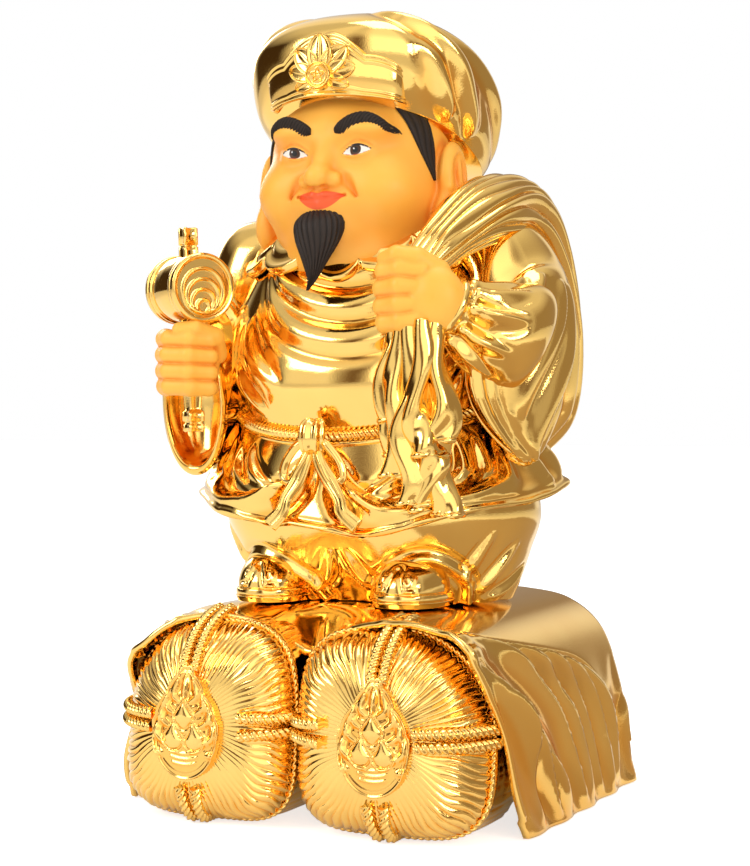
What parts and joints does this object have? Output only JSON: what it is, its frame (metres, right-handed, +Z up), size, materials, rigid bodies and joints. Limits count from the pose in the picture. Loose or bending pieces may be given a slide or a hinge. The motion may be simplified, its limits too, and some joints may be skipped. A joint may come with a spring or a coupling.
{
  "type": "god of wealth figurine",
  "caption": "Gold-plated bearded figure with a mallet and a sack, standing on cloth-draped straw rice bales; the mallet lifts out of its fist.",
  "frame": {"origin": "point on the underside of the base felt, under the middle of the base's length and width", "axes": "+Z up, the figure faces -Y, its own left side with the sack is towards +X"},
  "size_m": [0.2222, 0.2044, 0.4002],
  "materials": {
    "gold_plating": "mirror-bright gold plating on a resin casting, darker orange in the hollows",
    "matte_gilt_skin": "fine sand-matte gilt lacquer, deeper orange in the creases",
    "black_hair": "black-brown paint over moulded hair",
    "steel_fastener": "zinc-plated pan-head screw",
    "black_board": "black painted fibreboard",
    "brown_felt": "dense brown felt",
    "dowel_wood": "bare beech dowel"
  },
  "bodies": {
    "statue": {"base_felt": "brown_felt", "base_plate": "black_board", "belt_bow": "gold_plating", "belt_cord": "gold_plating", "cap_band": "gold_plating", "cap_crown": "gold_plating", "cap_medallion": "gold_plating", "drape_cloth": "gold_plating", "flame_plaque_left": "gold_plating", "flame_plaque_right": "gold_plating", "foot_screw_left": "steel_fastener", "foot_screw_right": "steel_fastener", "goatee": "black_hair", "hand_left": "matte_gilt_skin", "hand_right": "matte_gilt_skin", "head": "matte_gilt_skin", "neck_dowel": "dowel_wood", "robe_skirt": "gold_plating", "robe_torso": "gold_plating", "rope_bottom_left": "gold_plating", "rope_bottom_right": "gold_plating", "rope_inner_left": "gold_plating", "rope_inner_right": "gold_plating", "rope_outer_left": "gold_plating", "rope_outer_right": "gold_plating", "rope_top_left": "gold_plating", "rope_top_right": "gold_plating", "sack": "gold_plating", "sack_tail": "gold_plating", "scalloped_collar": "gold_plating", "shoe_left": "gold_plating", "shoe_right": "gold_plating", "sleeve_left": "gold_plating", "sleeve_right": "gold_plating", "straw_bale_left": "gold_plating", "straw_bale_right": "gold_plating", "trousers": "gold_plating"},
    "mallet": {"mallet_drum": "gold_plating", "mallet_handle": "gold_plating"}
  },
  "joints": [
    {"name": "mallet_lift", "type": "slide", "parent": "statue", "child": "mallet", "axis": [-0.0349, 0, 0.9994], "range_m": [0, 0.06]}
  ]
}
